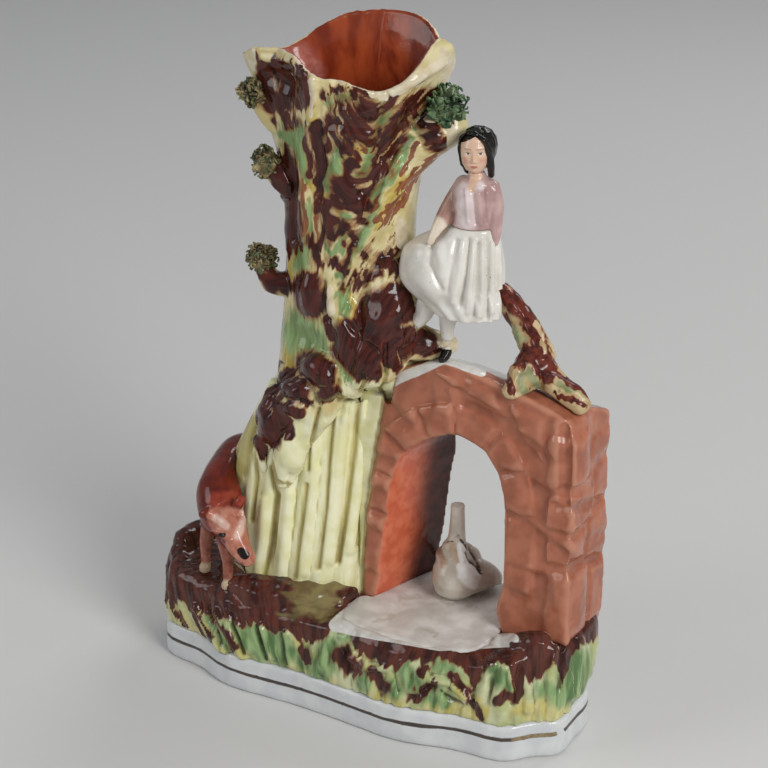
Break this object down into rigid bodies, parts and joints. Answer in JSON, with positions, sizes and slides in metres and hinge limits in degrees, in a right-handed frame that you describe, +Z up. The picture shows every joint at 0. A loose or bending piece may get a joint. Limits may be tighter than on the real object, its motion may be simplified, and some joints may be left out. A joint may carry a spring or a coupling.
{
  "type": "spill vase",
  "caption": "Hand-painted flatback spill vase: a hollow tree trunk on a fluted cascade, with a stone arch, a seated girl, a cow and a swan.",
  "frame": {"origin": "centre of the plinth's footprint, on the surface it stands on", "axes": "+Z up, +X to the right as seen from the painted front, +Y to the plain back"},
  "size_m": [0.1971, 0.0797, 0.2828],
  "materials": {
    "white_glaze": "gloss",
    "bank_glaze": "gloss",
    "water_glaze": "gloss",
    "cascade_glaze": "gloss",
    "stone_glaze": "gloss",
    "bark_glaze": "gloss",
    "moss_glaze": "satin",
    "branch_glaze": "gloss",
    "skirt_glaze": "gloss",
    "jacket_glaze": "gloss",
    "flesh_glaze": "gloss",
    "black_glaze": "gloss",
    "cow_glaze": "gloss",
    "swan_glaze": "gloss"
  },
  "bodies": {
    "root": {"plinth": "white_glaze", "ground_bank": "bank_glaze", "stream": "water_glaze", "rock_ledge": "bank_glaze", "waterfall": "cascade_glaze", "bridge": "stone_glaze", "trunk": "bark_glaze", "left_root": "bark_glaze", "front_root": "bark_glaze", "right_root": "bark_glaze", "upper_left_stub": "bark_glaze", "middle_left_stub": "bark_glaze", "lower_left_stub": "bark_glaze", "right_stub": "bark_glaze", "upper_left_moss": "moss_glaze", "middle_left_moss": "moss_glaze", "lower_left_moss": "moss_glaze", "right_moss": "moss_glaze", "branch": "branch_glaze", "girl_skirt": "skirt_glaze", "girl_bodice": "jacket_glaze", "girl_head": "flesh_glaze", "girl_hair": "black_glaze", "girl_right_arm": "jacket_glaze", "girl_left_arm": "jacket_glaze", "girl_legs": "skirt_glaze", "girl_shoes": "black_glaze", "cow_body": "cow_glaze", "cow_head": "cow_glaze", "cow_ears": "cow_glaze", "cow_legs": "cow_glaze", "cow_tail": "cow_glaze", "swan_body": "swan_glaze", "swan_neck": "swan_glaze"}
  },
  "joints": []
}
